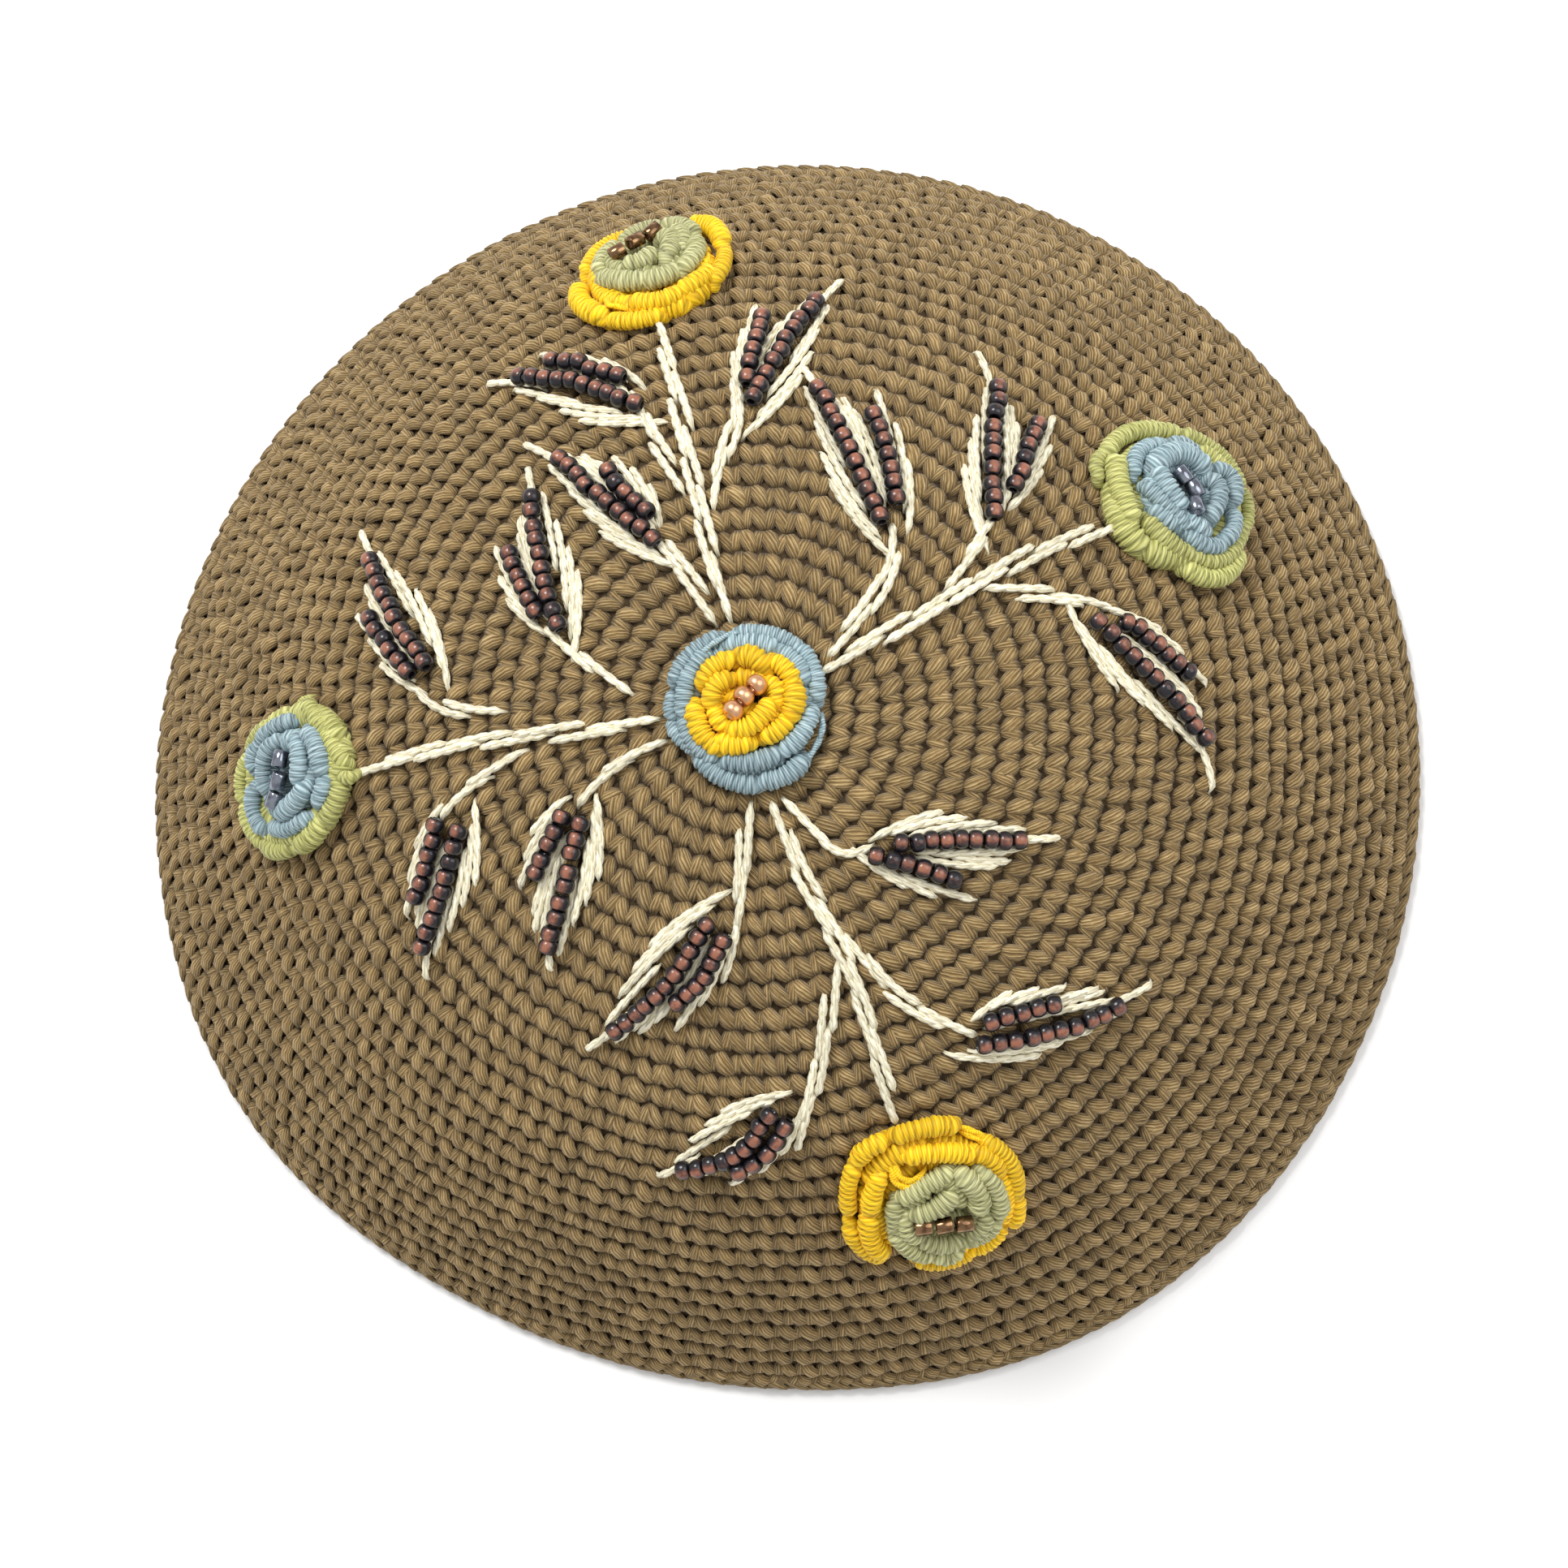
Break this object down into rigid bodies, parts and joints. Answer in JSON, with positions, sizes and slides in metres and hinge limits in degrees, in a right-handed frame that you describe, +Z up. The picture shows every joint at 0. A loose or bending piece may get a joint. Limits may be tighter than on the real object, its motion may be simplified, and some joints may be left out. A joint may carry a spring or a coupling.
{
  "type": "kippah skullcap",
  "caption": "Shallow hollow dome of brown crochet with a corded rim, five wound-thread roses and fourteen embroidered beaded leaves; rests on its rim.",
  "frame": {"origin": "on the ground under the middle of the rim's length and width", "axes": "+Z up through the crown, +Y towards the yellow and sage rose that the picture shows at its top, +X to the picture's right"},
  "size_m": [0.1714, 0.1672, 0.056],
  "materials": {
    "crochet_brown": "matte",
    "edging_brown": "matte",
    "thread_yellow": "matte",
    "thread_sage": "matte",
    "thread_blue": "matte",
    "thread_lime": "matte",
    "thread_cream": "matte"
  },
  "bodies": {
    "root": {"crown": "crochet_brown", "rim_edging": "edging_brown", "rose_centre_petals": "thread_blue", "rose_centre_heart": "thread_yellow", "rose_top_petals": "thread_yellow", "rose_top_heart": "thread_sage", "rose_right_petals": "thread_lime", "rose_right_heart": "thread_blue", "rose_left_petals": "thread_lime", "rose_left_heart": "thread_blue", "rose_bottom_petals": "thread_yellow", "rose_bottom_heart": "thread_sage", "leaf_01": "thread_cream", "leaf_02": "thread_cream", "leaf_03": "thread_cream", "leaf_04": "thread_cream", "leaf_05": "thread_cream", "leaf_06": "thread_cream", "leaf_07": "thread_cream", "leaf_08": "thread_cream", "leaf_09": "thread_cream", "leaf_10": "thread_cream", "leaf_11": "thread_cream", "leaf_12": "thread_cream", "leaf_13": "thread_cream", "leaf_14": "thread_cream"}
  },
  "joints": []
}
